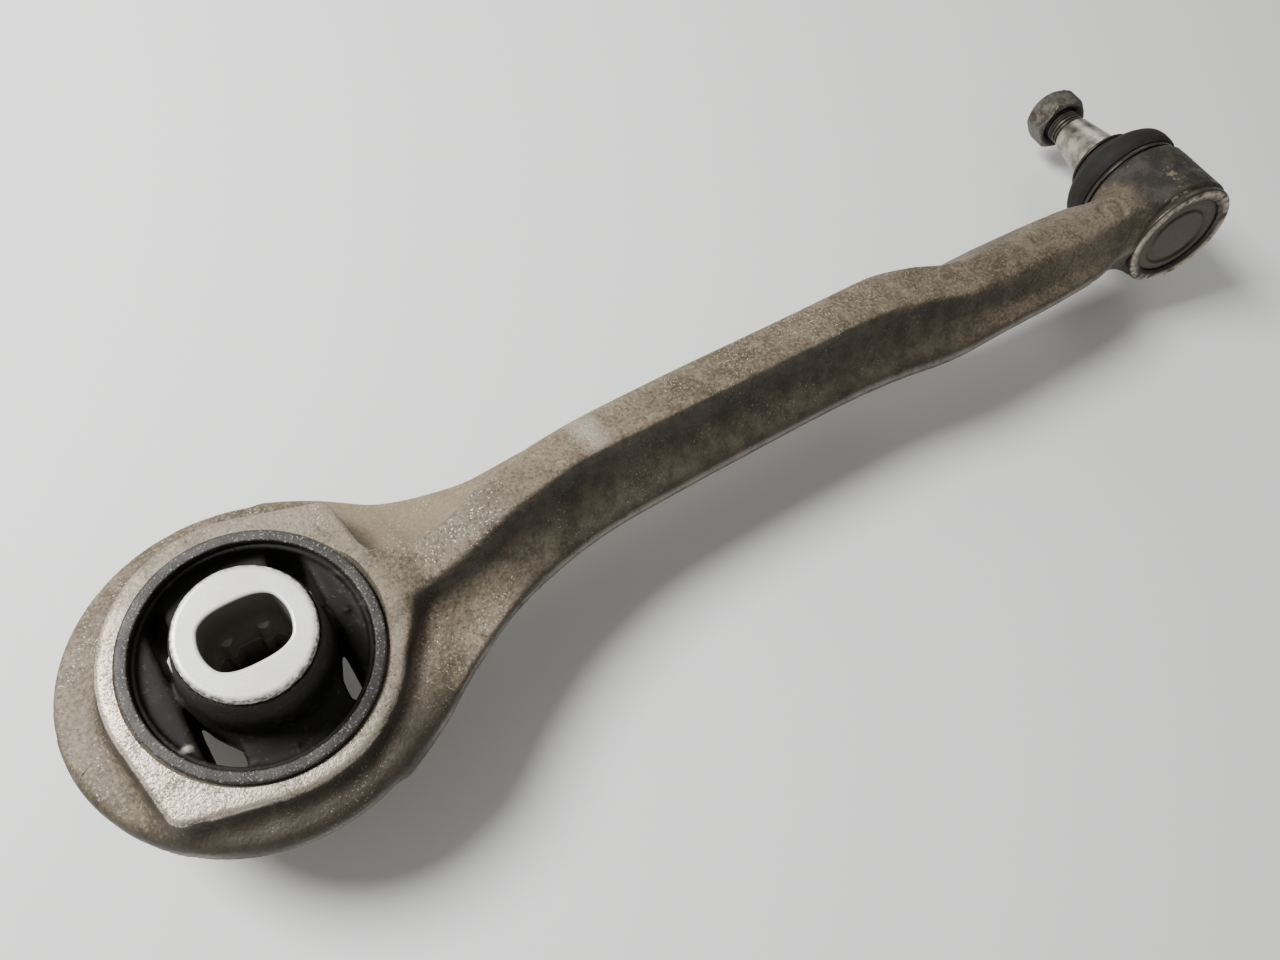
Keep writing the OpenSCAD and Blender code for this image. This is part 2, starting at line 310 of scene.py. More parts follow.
def skin_of(distance, low, high, voxel, ease):
    """Skin of a distance function inside a box, in mm. Ease lets flat parts have larger faces."""
    counts = ((np.array(high) - np.array(low)) / voxel).astype(int)
    lines = [low[i] + voxel * np.arange(counts[i]) for i in range(3)]
    gx, gy, gz = np.meshgrid(*lines, indexing="ij", sparse=True)
    volume = openvdb.FloatGrid()
    volume.copyFromArray(distance(gx, gy, gz).astype(np.float32))
    points, triangles, quads = volume.convertToPolygons(isovalue=0.0, adaptivity=ease)
    return points * voxel + np.array(low), [*triangles, *quads]


def rounded(corners, steps=5):
    """Outline through corners (x, y, radius), each corner turned into an arc; radius 0 keeps it sharp."""
    out = []
    count = len(corners)
    for i, (x, y, r) in enumerate(corners):
        here = np.array([x, y], float)
        before = np.array(corners[i - 1][:2], float) - here
        after = np.array(corners[(i + 1) % count][:2], float) - here
        if r <= 0 or not before.any() or not after.any():
            out.append(here)
            continue
        a = before / np.linalg.norm(before)
        b = after / np.linalg.norm(after)
        half = math.acos(np.clip(a @ b, -1, 1)) / 2
        if half > math.pi / 2 - 0.02:
            out.append(here)
            continue
        reach = min(r / math.tan(half), 0.49 * np.linalg.norm(before), 0.49 * np.linalg.norm(after))
        radius = reach * math.tan(half)
        middle = here + (a + b) / np.linalg.norm(a + b) * (radius / math.sin(half))
        start = here + a * reach - middle
        end = here + b * reach - middle
        turn = math.atan2(start[0] * end[1] - start[1] * end[0], start @ end)
        for k in range(steps + 1):
            t = turn * k / steps
            out.append(middle + np.array([start[0] * math.cos(t) - start[1] * math.sin(t),
                                          start[0] * math.sin(t) + start[1] * math.cos(t)]))
    return np.array(out)


def stack(name, loops, matrix, material, close=True, smooth_angle=40):
    """A piece from a stack of loops with as many points each. A closed stack meets its own start."""
    loops = [np.asarray(loop, float) for loop in loops]
    count = len(loops[0])
    faces = []
    rows = len(loops)
    for i in range(rows if close else rows - 1):
        j = (i + 1) % rows
        for k in range(count):
            n = (k + 1) % count
            faces.append((i * count + k, i * count + n, j * count + n, j * count + k))
    points = np.concatenate(loops)
    if not close:
        faces.append(tuple(range(count - 1, -1, -1)))
        faces.append(tuple((rows - 1) * count + k for k in range(count)))
    world = placed(points, matrix)
    volume = 0.0
    for f in faces:
        a = world[f[0]]
        for k in range(1, len(f) - 1):
            volume += a @ np.cross(world[f[k]], world[f[k + 1]])
    if volume < 0:
        faces = [tuple(reversed(f)) for f in faces]
    return mesh_object(name, world, faces, material, smooth_angle)


def lathe(name, profile, matrix, material, steps=128, smooth_angle=40, solid=False):
    """A turned piece: an outline of (radius, height) swept round the matrix's Z axis. A solid's outline
    is open and both its ends are flat discs; otherwise the outline is closed and makes a ring."""
    profile = np.asarray(profile, float)
    angles = 2 * np.pi * np.arange(steps) / steps
    loops = [np.stack([r * np.cos(angles), r * np.sin(angles), np.full(steps, h)], 1) for r, h in profile]
    return stack(name, loops, matrix, material, not solid, smooth_angle)


def cut(piece, cutter):
    """Takes the cutter's solid out of the piece and removes the cutter."""
    step = piece.modifiers.new("Cut", "BOOLEAN")
    step.operation = "DIFFERENCE"
    step.solver = "MANIFOLD"
    step.object = cutter
    bpy.context.view_layer.update()
    result = bpy.data.meshes.new_from_object(piece.evaluated_get(bpy.context.evaluated_depsgraph_get()))
    piece.modifiers.remove(step)
    piece.data = result
    bpy.data.objects.remove(cutter)


def tree_of(name):
    """A new material's shader, with functions that add its nodes."""
    material, tree, shader = new_material(name)

    def add(kind, **values):
        node = tree.nodes.new(kind)
        for key, value in values.items():
            setattr(node, key, value)
        return node

    def link(source, target):
        if isinstance(source, (int, float)):
            target.default_value = source
        elif isinstance(source, (tuple, list)):
            target.default_value = (*source, 1) if len(source) == 3 and target.type == "RGBA" else source
        else:
            tree.links.new(source, target)

    place = add("ShaderNodeTexCoord").outputs["Object"]

    def noise(scale, detail=2.0, rough=0.5, vector=None, distort=0.0):
        node = add("ShaderNodeTexNoise")
        link(vector or place, node.inputs["Vector"])
        link(scale, node.inputs["Scale"])
        link(detail, node.inputs["Detail"])
        link(rough, node.inputs["Roughness"])
        link(distort, node.inputs["Distortion"])
        return node.outputs["Fac"]

    def between(value, low, high, out_low=0.0, out_high=1.0):
        node = add("ShaderNodeMapRange", interpolation_type="SMOOTHSTEP")
        for source, key in ((value, "Value"), (low, "From Min"), (high, "From Max"),
                            (out_low, "To Min"), (out_high, "To Max")):
            link(source, node.inputs[key])
        return node.outputs["Result"]

    def sums(kind, a, b=0.0):
        node = add("ShaderNodeMath", operation=kind)
        link(a, node.inputs[0])
        link(b, node.inputs[1])
        return node.outputs[0]

    def blend(factor, a, b, kind="MIX"):
        node = add("ShaderNodeMix", data_type="RGBA", blend_type=kind)
        link(factor, node.inputs[0])
        link(a, node.inputs[6])
        link(b, node.inputs[7])
        return node.outputs[2]

    def own(attribute):
        return add("ShaderNodeAttribute", attribute_name=attribute).outputs["Fac"]

    def bump(height, distance, strength=1.0, after=None):
        node = add("ShaderNodeBump")
        link(height, node.inputs["Height"])
        link(distance, node.inputs["Distance"])
        link(strength, node.inputs["Strength"])
        if after:
            link(after, node.inputs["Normal"])
        return node.outputs["Normal"]

    tools = SimpleNamespace(add=add, link=link, noise=noise, between=between, sums=sums, blend=blend,
                            own=own, bump=bump, place=place)
    return material, shader, tools


forged_skin, shader, t = tree_of("forged_skin")
patches = t.noise(26, 4, 0.6, distort=0.8)
mottle = t.noise(160, 6, 0.66)
grain = t.noise(950, 4, 0.65)
specks = t.noise(1500, 2, 0.6)
hollow, worn, dirty, steep = (t.own(key) for key in ("hollow", "worn", "dirty", "steep"))
tone = t.sums("ADD", t.sums("MULTIPLY", patches, 0.5), t.sums("MULTIPLY", mottle, 0.5))
skin = t.blend(t.between(tone, 0.38, 0.62), (0.095, 0.072, 0.044), (0.215, 0.170, 0.118))
skin = t.blend(t.sums("MULTIPLY", t.between(grain, 0.5, 0.66), 0.6), skin, (0.32, 0.265, 0.195))
skin = t.blend(t.sums("MULTIPLY", t.between(grain, 0.48, 0.34), 0.7), skin, (0.052, 0.04, 0.026))
steep_shade_tone = t.blend(t.between(mottle, 0.38, 0.62), (0.027, 0.0222, 0.0138), (0.056, 0.0475, 0.0305))
# Painted shade: steep faces, the channel under the rib and the near flange darken to this sooty brown.
skin = t.blend(t.sums("MULTIPLY", steep, 0.9), skin, steep_shade_tone)
# Painted shade in hollows and on the near flange.
skin = t.blend(t.sums("MULTIPLY", hollow, 0.6), skin, (0.036, 0.028, 0.017))
grime = t.blend(t.between(mottle, 0.42, 0.6), (0.0165, 0.014, 0.0098), (0.042, 0.036, 0.0262))
skin = t.blend(t.between(dirty, 0.0, 0.95), skin, grime)
streaks = t.noise(85, 4, 0.7, distort=0.4)
rubbed = t.sums("MULTIPLY", t.between(streaks, 0.56, 0.63), t.between(dirty, 0.25, 1.0, 0, 0.75))
skin = t.blend(rubbed, skin, (0.2, 0.165, 0.12))
# Painted light: the far web's upward faces, which face the key light, are lightened to tan.
skin = t.blend(t.sums("MULTIPLY", t.own("tan"), 0.6), skin, (0.32, 0.25, 0.165))
fine = t.noise(1700, 3, 0.6)
# Bare metal where edges, the flash line and the knock are rubbed, and a painted highlight across the collar
# face.
bare = t.sums("ADD", t.sums("MULTIPLY", mottle, 0.5), t.sums("ADD", fine, t.sums("MULTIPLY", patches, 0.4)))
bare = t.sums("MULTIPLY", worn, t.between(bare, 0.72, 1.02, 0.12, 1.0))
skin = t.blend(bare, skin, (0.6, 0.52, 0.41))
fewer = t.sums("MULTIPLY", t.own("plain"), 0.3)
clusters = t.between(t.sums("SUBTRACT", t.noise(70, 3, 0.6), fewer), 0.42, 0.62)
bright = t.sums("MULTIPLY", t.between(specks, 0.63, 0.68), clusters)
skin = t.blend(t.sums("MULTIPLY", bright, t.between(steep, 0, 1, 0.85, 0.25)), skin, (0.8, 0.74, 0.64))
t.link(skin, shader.inputs["Base Color"])
t.link(t.between(bare, 0.0, 1.0, 0.58, 0.38), shader.inputs["Roughness"])
t.link(t.between(t.sums("ADD", bare, bright), 0.0, 1.0, 0.2, 0.7), shader.inputs["Metallic"])
coarse = t.bump(mottle, 0.0007, 0.5)
t.link(t.bump(grain, 0.0003, 0.7, coarse), shader.inputs["Normal"])

BOX_LOW, BOX_HIGH = (-54.0, -54.0, -33.0), (400.0, 54.0, 33.0)
points, faces = skin_of(forging_distance, BOX_LOW, BOX_HIGH, VOXEL, 0.06)
arm = mesh_object("arm_forging_skin", placed(points, in_plane), faces)

bore = lathe("bore_cutter", [(40, -40), (34.2, -17.7), (SLEEVE_R, -16.4), (SLEEVE_R, 16.4), (34.2, 17.7),
                             (40, 40)], Matrix.Identity(4), None, 180, solid=True)
cut(arm, bore)
cup_room = lathe("cup_cutter", [
    (21.4, -40), (21.4, -12.9), (18.3, -12.9), (18.3, -11.5), (16.5, -11.5), (16.5, 9), (12.8, 9),
    (16.4, 17.4), (16.4, 60)], along_joint, None, 128, solid=True)
cut(arm, cup_room)
boot_room = lathe("boot_cutter", [(19.0, 13.8), (24.4, 13.8), (24.4, 60), (19.0, 60)], along_joint, None, 128)
cut(arm, boot_room)


def points_in(matrix, piece):
    """A piece's vertices in mm, in the frame that the matrix places."""
    co = np.empty(len(piece.data.vertices) * 3)
    piece.data.vertices.foreach_get("co", co)
    return placed(co.reshape(-1, 3) / MM, matrix.inverted())


def normals_in(matrix, piece):
    """A piece's vertex normals in the frame that the matrix places."""
    normal = np.empty(len(piece.data.vertices) * 3)
    piece.data.vertex_normals.foreach_get("vector", normal)
    return normal.reshape(-1, 3) @ np.array(matrix.inverted())[:3, :3].T


def ramp(value, start, width):
    """0 at the start, 1 a width later, and held outside; a negative width falls instead of rising."""
    return np.clip((value - start) / width, 0, 1)


def paint(piece, name, values):
    """Stores one number for each vertex, for the materials to read."""
    layer = piece.data.attributes.new(name, "FLOAT", "POINT")
    layer.data.foreach_set("value", np.clip(values, 0, 1).astype(np.float32))


# Hollows are darkened as painted shade and edges are rubbed: both are felt by probing the field along each
# normal.
spot = points_in(in_plane, arm)
facing = normals_in(in_plane, arm)
occlusion_shade = np.zeros(len(spot))
for reach, weight in ((3, 0.3), (7, 0.4), (14, 0.5)):
    open_space = forging_distance(*(spot + facing * reach).T)
    occlusion_shade += weight * np.clip((reach - open_space) / reach, 0, 1)
sharpness = np.zeros(len(spot))
for reach, weight in ((1.2, 0.6), (2.5, 0.6)):
    metal = -forging_distance(*(spot - facing * reach).T)
    sharpness += weight * np.clip((reach - metal) / reach, 0, 1)

# Regions of the arm by place: collar face (with a painted highlight), cup, plain end of the beam, channel
# under the rib (painted shade), lower side of the flange (painted shade), and the web on the far side of the
# rib's root (painted light).
x, y, z = spot.T
up = facing[:, 2]
bush_y, bush_z = in_bush(y, z)
collar_line = collar_outline(x, bush_y)
on_face = (np.abs(bush_z) > COLLAR_H - 1.2) & (collar_line < 0.4)
# Painted highlight: the collar face brightens towards its -X, -Y side.
collar_highlight = ramp(-x - bush_y, -20, 60)
on_cup = ramp((x - ARM_LENGTH) * math.cos(YAW) - y * math.sin(YAW), -25, 9)
far_end = ramp(x, 215, 150)
below_top = along(x, BEAM, 5) - 2.2 - np.abs(z)
# Painted shade in the channel under the rib, where the rib keeps the light off the flange.
channel_shade = ramp(below_top, 0, 3) * ramp(x, 66, 26) * np.maximum(ramp(x, 290, -50), 0.25)
# Painted shade on the eye's flange on the near, -Y side.
near_flange_shade = ramp(-y - 0.1 * np.abs(x), 20, 16) * (collar_line > 0.4) * (x < 40)
# Painted light on the far web's upward faces, which also takes the painted shade off them.
lit_far_web = ramp(y, 8, 6) * ramp(x, 125, -55) * ramp(x, 28, 10) * ramp(up, 0.25, 0.5)
root = np.clip(1 - np.abs(x - 72) / 26, 0, 1) * (1 - lit_far_web)

# Painted shade on steep faces, then wear: a flash line round the parting plane, rubbed ridges at the beam's
# end and one knock on its top, with a painted highlight on the collar face.
steep = ramp(np.abs(up), 0.82, -0.3) * np.maximum(ramp(x, 340, -90), 0.35)
steep = np.maximum(steep, np.maximum(channel_shade, 0.95 * near_flange_shade)) * (1 - 0.8 * lit_far_web)
parting_z = z - flange_middle(y, ramp(x, TURNED_BACK_END, -50))
flash = np.clip(1.3 - np.abs(parting_z) / 0.8, 0, 1) * (np.abs(up) < 0.6) * (1 - on_cup)
ridge = ramp(sharpness, 0.42, 0.3) * far_end * (1 - on_cup)
knock = np.clip(1.2 - np.hypot(x - 109, 0.5 * (y - 9)) / 5.0, 0, 1) * (up > 0.8)
# The collar face takes some real wear and a painted highlight.
worn = sharpness * 0.75 * (1 - 0.5 * far_end) * (1 - on_cup) + on_face * (0.2 + 0.95 * collar_highlight)
worn = worn + 0.8 * knock + 0.4 * flash + 0.9 * ridge
# Stored for the material: painted shade in hollows and on steep faces, painted light on the far web, and wear
# with a painted highlight on the collar face.
paint(arm, "hollow", np.maximum(occlusion_shade, 0.9 * near_flange_shade) * (1 - 0.8 * lit_far_web))
paint(arm, "worn", worn)
paint(arm, "tan", lit_far_web)
paint(arm, "plain", far_end * 1.6)
paint(arm, "dirty", np.maximum(np.maximum(0.36 * far_end, 0.4 * root), on_cup))
paint(arm, "steep", steep)
arm.data.materials.clear()
arm.data.materials.append(forged_skin)
arm.data.shade_smooth()
arm.data.set_sharp_from_angle(angle=math.radians(42))
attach(arm, "arm")
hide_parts("arm_forging")

# ---------------------------------------------------------------- Rolled rim of the ball housing
# The cup's rim is rolled inwards over the closing plate. It stands a little proud of the cup, and its
# lip is rubbed bright.
rim_skin, shader, t = tree_of("rolled_rim")
chatter = t.noise(420, 4, 0.6)
smudge = t.noise(95, 3, 0.55)
bare = t.between(t.sums("ADD", t.sums("MULTIPLY", chatter, 0.7), t.sums("MULTIPLY", smudge, 0.7)), 0.52, 0.78)
skin = t.blend(bare, (0.075, 0.06, 0.042), (0.5, 0.43, 0.33))
skin = t.blend(t.own("dirty"), skin, (0.035, 0.028, 0.02))
t.link(skin, shader.inputs["Base Color"])
t.link(t.between(bare, 0, 1, 0.6, 0.36), shader.inputs["Roughness"])
shader.inputs["Metallic"].default_value = 0.55
t.link(t.bump(chatter, 0.0003, 0.5), shader.inputs["Normal"])
rim = lathe("housing_rim", rounded([
    (21.3, -9.5, 0), (HOUSING_R, -9.6, 0), (HOUSING_R, -11.4, 0.8), (21.7, -12.5, 0.5), (22.0, -13.4, 0.4),
    (22.3, -14.9, 1.2), (21.3, -16.0, 0.9), (18.4, -15.7, 0.6), (17.3, -14.9, 0.3), (17.3, -14.1, 0.1),
    (18.2, -14.0, 0), (18.2, -12.9, 0), (21.3, -12.9, 0)]), along_joint, rim_skin, 192)
local = points_in(along_joint, rim)
above_lip = np.clip((local[:, 2] + 15.7) / 0.4, 0, 0.95)
inside_lip = np.clip((20.0 - np.hypot(local[:, 0], local[:, 1])) / 0.9, 0, 0.92)
paint(rim, "dirty", np.maximum(above_lip, inside_lip))
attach(rim, "arm")

# ---------------------------------------------------------------- Closing plate
# A pressed steel disc under the rolled rim, with one round step, dull and stained.
plate_steel, shader, t = tree_of("stained_plate")
stain = t.noise(120, 4, 0.6)
fine = t.noise(1500, 2, 0.5)
skin = t.blend(t.between(stain, 0.38, 0.64), (0.06, 0.05, 0.033), (0.105, 0.09, 0.064))
skin = t.blend(t.sums("MULTIPLY", t.between(fine, 0.6, 0.75), 0.3), skin, (0.2, 0.18, 0.14))
t.link(skin, shader.inputs["Base Color"])
shader.inputs["Metallic"].default_value = 0.6
t.link(t.between(stain, 0.3, 0.7, 0.42, 0.62), shader.inputs["Roughness"])
t.link(t.bump(fine, 0.0001, 0.4), shader.inputs["Normal"])
plate = lathe("closing_plate_disc", rounded([
    (0.5, -14.3, 0), (10.8, -14.35, 0.8), (11.9, -13.7, 0.5), (13.0, -13.7, 0.5), (14.0, -14.5, 0.6),
    (16.6, -14.3, 0.5), (18.2, -13.95, 0.1), (18.2, -11.6, 0.2), (13.2, -11.6, 0.8), (0.5, -12.6, 0)]),
    along_joint, plate_steel, 160, solid=True)
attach(plate, "arm")
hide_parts("closing_plate")

# ---------------------------------------------------------------- Outer sleeve of the bush
# A pressed-in metal ring with rounded edges and a dark, lightly speckled coating.
sleeve_skin, shader, t = tree_of("sleeve_coating")
fleck = t.noise(1700, 3, 0.6)
cloud = t.noise(160, 3, 0.5)
skin = t.blend(t.between(cloud, 0.35, 0.65), (0.032, 0.03, 0.0265), (0.058, 0.054, 0.048))
skin = t.blend(t.sums("MULTIPLY", t.between(fleck, 0.58, 0.66), 0.75), skin, (0.36, 0.34, 0.31))
t.link(skin, shader.inputs["Base Color"])
t.link(t.between(fleck, 0.4, 0.7, 0.5, 0.68), shader.inputs["Roughness"])
shader.inputs["Metallic"].default_value = 0.2
t.link(t.bump(fleck, 0.0002, 0.5), shader.inputs["Normal"])
SLEEVE_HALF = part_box("bushing_outer_sleeve")[1].z / MM
sleeve = lathe("outer_sleeve_ring", rounded([
    (30.0, -SLEEVE_HALF, 0.5), (SLEEVE_R, -SLEEVE_HALF, 0.6), (SLEEVE_R, SLEEVE_HALF, 0.6),
    (30.0, SLEEVE_HALF, 0.5)], 7), Matrix.Identity(4), sleeve_skin, 200)
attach(sleeve, "arm")
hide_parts("bushing_outer_sleeve")

# ---------------------------------------------------------------- Rubber of the bush
# One moulding, bonded inside the sleeve and round the core: a lining, a jacket that widens towards the
# middle, a web on each side of the core along Y, and a stop pad on each side along X with a flat inner face.
JACKET_TOP = 35.2
WEB_END_R = 29.4
DAB_AT = (-24.0, -14.0)
PIPS = ((*DAB_AT, 0.95, 16.1), (25.0, -0.3, 0.95, 16.1), (-1.0, -25.4, 0.8, 12.4))


def rubber_distance(x, y, z):
    """Distance in mm to the rubber's skin, in the bush's frame."""
    radius = np.hypot(x, y)
    height = np.abs(z)
    rise = np.clip((height - 8) / (JACKET_TOP - 8), 0, 1)
    jacket_r = 20.7 - 3.0 * rise ** 1.25
    jacket = round_common(radius - jacket_r, height - JACKET_TOP, 0.7)
    lining = round_common(np.maximum(radius - 30.2, 28.6 - radius), height - 17.2, 0.5)
    arch = 13.2 + 0.0035 * (np.abs(y) - 23) ** 2 + np.where(x * y < 0, 2.9, 0.0)
    web_top = 12.8 - 0.16 * np.maximum(np.abs(y) - 18, 0)
    web = round_common(np.abs(x) - arch, height - web_top, 1.6)
    web = np.maximum(web, radius - WEB_END_R)
    pad_top = 15.4 - 0.05 * (np.abs(x) - 21.8)
    pad = round_common(21.3 - np.abs(x), height - pad_top, 1.8)
    pad = round_common(pad, np.abs(y + 1.0) - 20.5, 2.2)
    pad = np.maximum(pad, radius - WEB_END_R)
    side = round_union(round_union(lining, pad, 1.2), web, 2.6)
    whole = round_union(jacket, side, 2.2)
    for pip_x, pip_y, pip_r, pip_top in PIPS:
        pip = np.maximum(np.hypot(x - pip_x, y - pip_y) - pip_r, height - pip_top)
        whole = round_union(whole, pip, 0.4)
    return np.maximum(whole, 17.0 - radius)


bush_rubber, shader, t = tree_of("bush_rubber")
bloom = t.noise(140, 4, 0.6)
fine = t.noise(2200, 2, 0.5)
skin = t.blend(t.between(bloom, 0.4, 0.7), (0.009, 0.008, 0.0068), (0.018, 0.016, 0.0135))
dust = t.sums("MULTIPLY", t.between(t.noise(900, 2, 0.5), 0.66, 0.76), 0.5)
skin = t.blend(dust, skin, (0.10, 0.095, 0.085))
scuff = t.sums("MULTIPLY", t.between(t.noise(330, 3, 0.6), 0.6, 0.7), 0.3)
skin = t.blend(scuff, skin, (0.09, 0.083, 0.07))
skin = t.blend(t.own("dab"), skin, (0.42, 0.39, 0.33))
t.link(skin, shader.inputs["Base Color"])
t.link(t.between(bloom, 0.3, 0.7, 0.6, 0.78), shader.inputs["Roughness"])
shader.inputs["Specular IOR Level"].default_value = 0.3
t.link(t.bump(fine, 0.00008, 0.35), shader.inputs["Normal"])
points, faces = skin_of(rubber_distance, (-30.6, -30.6, -36.6), (30.6, 30.6, 36.6), 0.6, 0.05)
rubber = mesh_object("bush_rubber_moulding", points, faces, bush_rubber, 50)
x, y, z = points_in(Matrix.Identity(4), rubber).T
paint(rubber, "dab", np.clip(1.7 - np.hypot(x - DAB_AT[0], 1.4 * (y - DAB_AT[1])), 0, 1) * (z > 0))
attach(rubber, "arm")
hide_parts("bushing_rubber")

# ---------------------------------------------------------------- Core of the bush
# An extruded and sawn aluminium tube with a two-flat slot for the bolt. Its ends are machined bright,
# and four small ribs in the slot's middle place the bolt.
CORE_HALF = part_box("bushing_core")[1].z / MM
CORE_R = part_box("bushing_core")[1].x / MM
SLOT_R = 11.0
SLOT_FLAT = 8.3
RIB_HALF = 12.0
core_angles = 2 * np.pi * np.arange(288) / 288


def slot_reach(ribs, grow=0.0):
    """Distance from the axis to the slot's wall at each angle."""
    steps = np.linspace(0.05, 14, 600)
    x = np.cos(core_angles)[:, None] * steps
    y = np.sin(core_angles)[:, None] * steps
    wall = round_common(np.hypot(x, y) - SLOT_R - grow, np.abs(y) - SLOT_FLAT - grow, 3.2)
    if ribs:
        rib = np.hypot(np.abs(x) - 5.2, np.abs(y) - SLOT_FLAT - 0.1) - 1.95
        wall = -round_union(-wall, rib, 0.7)
    first = np.argmax(wall > 0, axis=1)
    rows = np.arange(len(first))
    before, after = wall[rows, first - 1], wall[rows, first]
    share = -before / (after - before)
    return steps[first - 1] + (steps[first] - steps[first - 1]) * share


def polar_loop(angles, reach, height):
    """A loop of points, one for each angle, at a reach from the axis and at one height."""
    reach = reach * np.ones(len(angles))
    return np.stack([reach * np.cos(angles), reach * np.sin(angles), np.full(len(angles), height)], 1)


machined, shader, t = tree_of("machined_core")
swirl = t.noise(60, 3, 0.5)
scratch = t.noise(2600, 3, 0.6)
edge_stain = t.own("stain")
skin = t.blend(t.between(swirl, 0.35, 0.65), (0.86, 0.84, 0.8), (0.97, 0.96, 0.94))
patchy = t.sums("MULTIPLY", edge_stain, t.between(t.noise(700, 3, 0.6), 0.3, 0.62))
skin = t.blend(patchy, skin, (0.15, 0.13, 0.1))
walls = t.blend(t.own("shade"), (0.55, 0.52, 0.47), (0.19, 0.177, 0.158))
skin = t.blend(t.own("deep"), skin, walls)
skin = t.blend(t.own("parting"), skin, (0.9, 0.85, 0.75))
t.link(skin, shader.inputs["Base Color"])
t.link(t.between(scratch, 0.3, 0.7, 0.3, 0.46), shader.inputs["Roughness"])
t.link(t.between(t.own("deep"), 0, 1, 0.25, 0.1), shader.inputs["Metallic"])
t.link(t.bump(scratch, 0.00006, 0.3), shader.inputs["Normal"])
plain, wide, ribbed = slot_reach(False), slot_reach(False, 0.5), slot_reach(True)
levels = []
for end in (1, -1):
    outer = [(CORE_R, 34.8), (CORE_R, CORE_HALF - 1.0), (CORE_R - 0.3, CORE_HALF - 0.35),
             (CORE_R - 1.0, CORE_HALF), (CORE_R - 1.6, CORE_HALF)]
    face = [(wide * (1 - s) + (CORE_R - 1.6) * s, CORE_HALF) for s in (0.66, 0.33, 0.08, 0.0)]
    wall = [(plain * 0.6 + wide * 0.4, CORE_HALF - 0.15), (plain, CORE_HALF - 0.5), (plain, CORE_HALF - 0.8),
            (plain, 30), (plain, 22), (plain, RIB_HALF + 0.3), (ribbed * 0.35 + plain * 0.65, RIB_HALF),
            (ribbed, RIB_HALF - 0.5), (ribbed, 6), (ribbed, 0.75), (ribbed, 0.3)]
    part = [polar_loop(core_angles, r, end * z) for r, z in outer + face + wall]
    levels += part if end == 1 else part[::-1]
core = stack("bush_core_tube", levels, Matrix.Identity(4), machined, True, 35)
x, y, z = points_in(Matrix.Identity(4), core).T
inside = np.hypot(x, y) < 11.6
paint(core, "deep", inside & (np.abs(z) < CORE_HALF - 0.6))
paint(core, "stain", ramp(np.hypot(x, y), 15.9, 0.7))
paint(core, "shade", ramp(np.abs(z), 4, 14))
paint(core, "parting", inside & (np.abs(z) < 0.35))
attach(core, "core")
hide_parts("bushing_core")

# ---------------------------------------------------------------- Ball seat and locking ring
# Hidden plastic pieces: the shell that holds the ball, and the nylon ring inside the nut.
for node, base, dark in (("ball_seat", (0.72, 0.7, 0.62), (0.6, 0.57, 0.5)),
                         ("nut_locking_insert", (0.05, 0.07, 0.14), (0.035, 0.05, 0.1))):
    plastic, shader, t = tree_of(node + "_plastic")
    t.link(t.blend(t.between(t.noise(300, 3), 0.35, 0.65), dark, base), shader.inputs["Base Color"])
    t.link(t.between(t.noise(1200, 2), 0.3, 0.7, 0.4, 0.55), shader.inputs["Roughness"])
    t.link(t.bump(t.noise(2500, 2), 0.00005, 0.3), shader.inputs["Normal"])
    holder = frame["nodes"][node]
    holder.data.materials.clear()
    holder.data.materials.append(plastic)

# ---------------------------------------------------------------- Ball stud
# Ball, neck, taper and thread turned from one steel bar. The taper is plated and bright, the thread dull.
plated, shader, t = tree_of("plated_stud")
turned_marks = t.add("ShaderNodeTexWave", wave_type="BANDS", bands_direction="Z")
turn_place = t.add("ShaderNodeVectorRotate", rotation_type="EULER_XYZ")
spin_back = along_joint.to_3x3().inverted().to_euler()
turn_place.inputs["Rotation"].default_value = tuple(spin_back)
t.link(t.place, turn_place.inputs["Vector"])
t.link(turn_place.outputs[0], turned_marks.inputs["Vector"])
t.link(900.0, turned_marks.inputs["Scale"])
t.link(1.5, turned_marks.inputs["Distortion"])
smear = t.noise(130, 4, 0.6)
skin = t.blend(t.between(smear, 0.36, 0.62), (0.17, 0.15, 0.12), (0.5, 0.45, 0.375))
skin = t.blend(t.sums("MULTIPLY", t.between(t.noise(900, 3, 0.6), 0.58, 0.72), 0.4), skin, (0.2, 0.19, 0.17))
skin = t.blend(t.own("thread"), skin, (0.036, 0.03, 0.023))
t.link(skin, shader.inputs["Base Color"])
t.link(t.between(t.own("thread"), 0, 1, 0.85, 0.5), shader.inputs["Metallic"])
t.link(t.between(smear, 0.3, 0.7, 0.26, 0.42), shader.inputs["Roughness"])
t.link(t.bump(turned_marks.outputs["Fac"], 0.00004, 0.25), shader.inputs["Normal"])
BALL_R = 12.3
ball_outline = [(BALL_R * math.sin(a), -BALL_R * math.cos(a), 0)
                for a in np.linspace(0.62, math.pi - 0.6, 28)]
THREAD_LOW, THREAD_HIGH, THREAD_R, THREAD_PITCH = 55.4, 73.0, 6.95, 1.5
stud = lathe("ball_stud_body", rounded([
    *ball_outline, (6.6, 10.6, 1.5), (6.2, 13.5, 2), (6.2, 20, 4), (7.6, 26.2, 4),
    (10.8, 30.8, 1.2), (10.8, 33.2, 1), (7.75, 54.0, 0.9), (7.0, 54.9, 0.4), (6.3, 55.3, 0.3),
    (6.3, 72.4, 0.3), (5.6, 73.5, 0)]), along_joint, plated, 128, 34, solid=True)
paint(stud, "thread", ramp(points_in(along_joint, stud)[:, 2], 55.0, 0.4))
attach(stud, "stud")
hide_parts("ball_stud")


def geometry_tree(name, sizes):
    """An empty Geometry Nodes tree with named number inputs and one geometry output."""
    tree = bpy.data.node_groups.new(name, "GeometryNodeTree")
    tree.interface.new_socket("Geometry", in_out="OUTPUT", socket_type="NodeSocketGeometry")
    ids = {}
    for key in sizes:
        ids[key] = tree.interface.new_socket(key, in_out="INPUT", socket_type="NodeSocketFloat").identifier
    return tree, ids, tree.nodes.new("NodeGroupInput"), tree.nodes.new("NodeGroupOutput")


